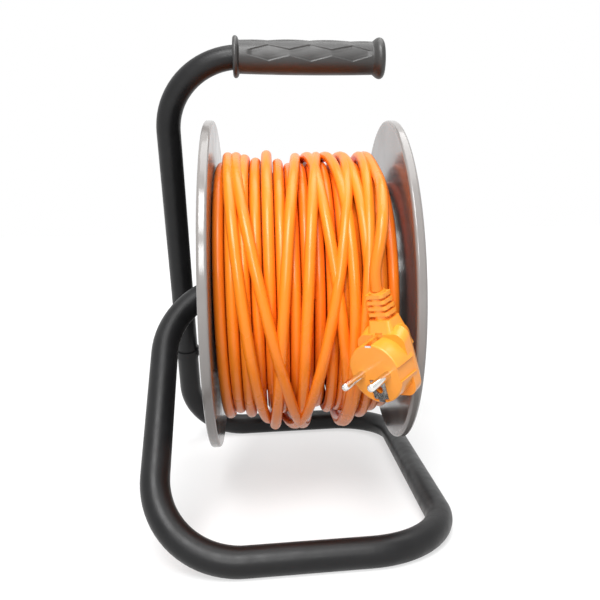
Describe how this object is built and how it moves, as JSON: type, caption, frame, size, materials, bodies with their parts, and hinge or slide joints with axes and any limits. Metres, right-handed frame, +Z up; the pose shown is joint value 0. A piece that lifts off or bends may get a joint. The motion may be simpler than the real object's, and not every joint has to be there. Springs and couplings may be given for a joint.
{
  "type": "extension cord reel",
  "caption": "Cord reel on a bent tube stand with a carrying grip: a drum of wound mains cord with covered sockets, a crank knob and a plug.",
  "frame": {"origin": "on the floor, under the middle of the reel's bounding box without its free cord and plug", "axes": "+X along the drum's axle towards the sockets and the winding knob, +Y to the back, away from the picture's viewer, +Z up"},
  "size_m": [0.219, 0.2945, 0.3388],
  "materials": {
    "black_steel": "satin",
    "grip_plastic": "satin",
    "zinc_steel": "satin",
    "pad_rubber": "matte",
    "black_plastic": "satin",
    "plug_plastic": "satin",
    "lid_plastic": "satin",
    "grey_plastic": "gloss",
    "white_plastic": "satin",
    "red_plastic": "gloss",
    "brass": "satin",
    "nickel": "gloss",
    "orange_sheath": "gloss",
    "brown_wire": "gloss",
    "blue_wire": "gloss",
    "green_wire": "gloss"
  },
  "bodies": {
    "frame": {"frame_tube": "black_steel", "handle_grip": "grip_plastic", "brake_clip": "black_steel", "axle_stop_ring": "zinc_steel", "stop_ring_screw": "zinc_steel", "axle_washer": "zinc_steel", "axle_screw": "zinc_steel", "brake_pad": "pad_rubber", "axle_end_plug": "black_plastic"},
    "drum": {"left_flange": "grey_plastic", "right_flange": "grey_plastic", "drum_core": "grey_plastic", "left_hub_bush": "white_plastic", "right_hub_bush": "white_plastic", "left_flange_screws": "zinc_steel", "socket_plate_screws": "zinc_steel", "socket_tray_screws": "zinc_steel", "cord_clamp_screws": "zinc_steel", "lid_pins": "zinc_steel", "lid_springs": "zinc_steel", "reset_spring": "zinc_steel", "crank_pin": "zinc_steel", "crank_washer": "zinc_steel", "socket_plate": "black_plastic", "socket_tray": "black_plastic", "cord_clamp": "black_plastic", "thermal_cutout": "black_plastic", "live_bar": "brass", "neutral_bar": "brass", "earth_bar": "brass", "inner_cord": "orange_sheath", "cord_inner_layers": "orange_sheath", "cord_outer_turns": "orange_sheath", "cord_tail": "orange_sheath", "live_lead": "brown_wire", "neutral_lead": "blue_wire", "earth_lead": "green_wire", "plug_body": "plug_plastic", "plug_pins": "nickel", "plug_earth_contact": "nickel"},
    "lid_1": {"socket_lid_1": "lid_plastic"},
    "lid_2": {"socket_lid_2": "lid_plastic"},
    "lid_3": {"socket_lid_3": "lid_plastic"},
    "lid_4": {"socket_lid_4": "lid_plastic"},
    "button": {"reset_button": "red_plastic"},
    "knob": {"crank_knob": "black_plastic"}
  },
  "joints": [
    {"name": "drum_spin", "type": "hinge", "parent": "frame", "child": "drum", "pos_m": [0, 0, 0.1575], "axis": [1, 0, 0], "continuous": true},
    {"name": "lid_1_hinge", "type": "hinge", "parent": "drum", "child": "lid_1", "pos_m": [0.071, -0.0235, 0.205], "axis": [0, -1, 0], "range_deg": [0, 100], "stiffness_Nm_per_rad": 0.004, "springref_deg": -45.84},
    {"name": "lid_2_hinge", "type": "hinge", "parent": "drum", "child": "lid_2", "pos_m": [0.071, 0.0235, 0.205], "axis": [0, -1, 0], "range_deg": [0, 100], "stiffness_Nm_per_rad": 0.004, "springref_deg": -45.84},
    {"name": "lid_3_hinge", "type": "hinge", "parent": "drum", "child": "lid_3", "pos_m": [0.071, -0.0235, 0.11], "axis": [0, 1, 0], "range_deg": [0, 100], "stiffness_Nm_per_rad": 0.004, "springref_deg": -45.84},
    {"name": "lid_4_hinge", "type": "hinge", "parent": "drum", "child": "lid_4", "pos_m": [0.071, 0.0235, 0.11], "axis": [0, 1, 0], "range_deg": [0, 100], "stiffness_Nm_per_rad": 0.004, "springref_deg": -45.84},
    {"name": "reset_press", "type": "slide", "parent": "drum", "child": "button", "axis": [-1, 0, 0], "range_m": [0, 0.0025], "stiffness_N_per_m": 400, "springref_m": -0.002, "deforming": ["reset_spring"]},
    {"name": "knob_spin", "type": "hinge", "parent": "drum", "child": "knob", "pos_m": [0.0709, 0.088, 0.1575], "axis": [1, 0, 0], "continuous": true}
  ]
}
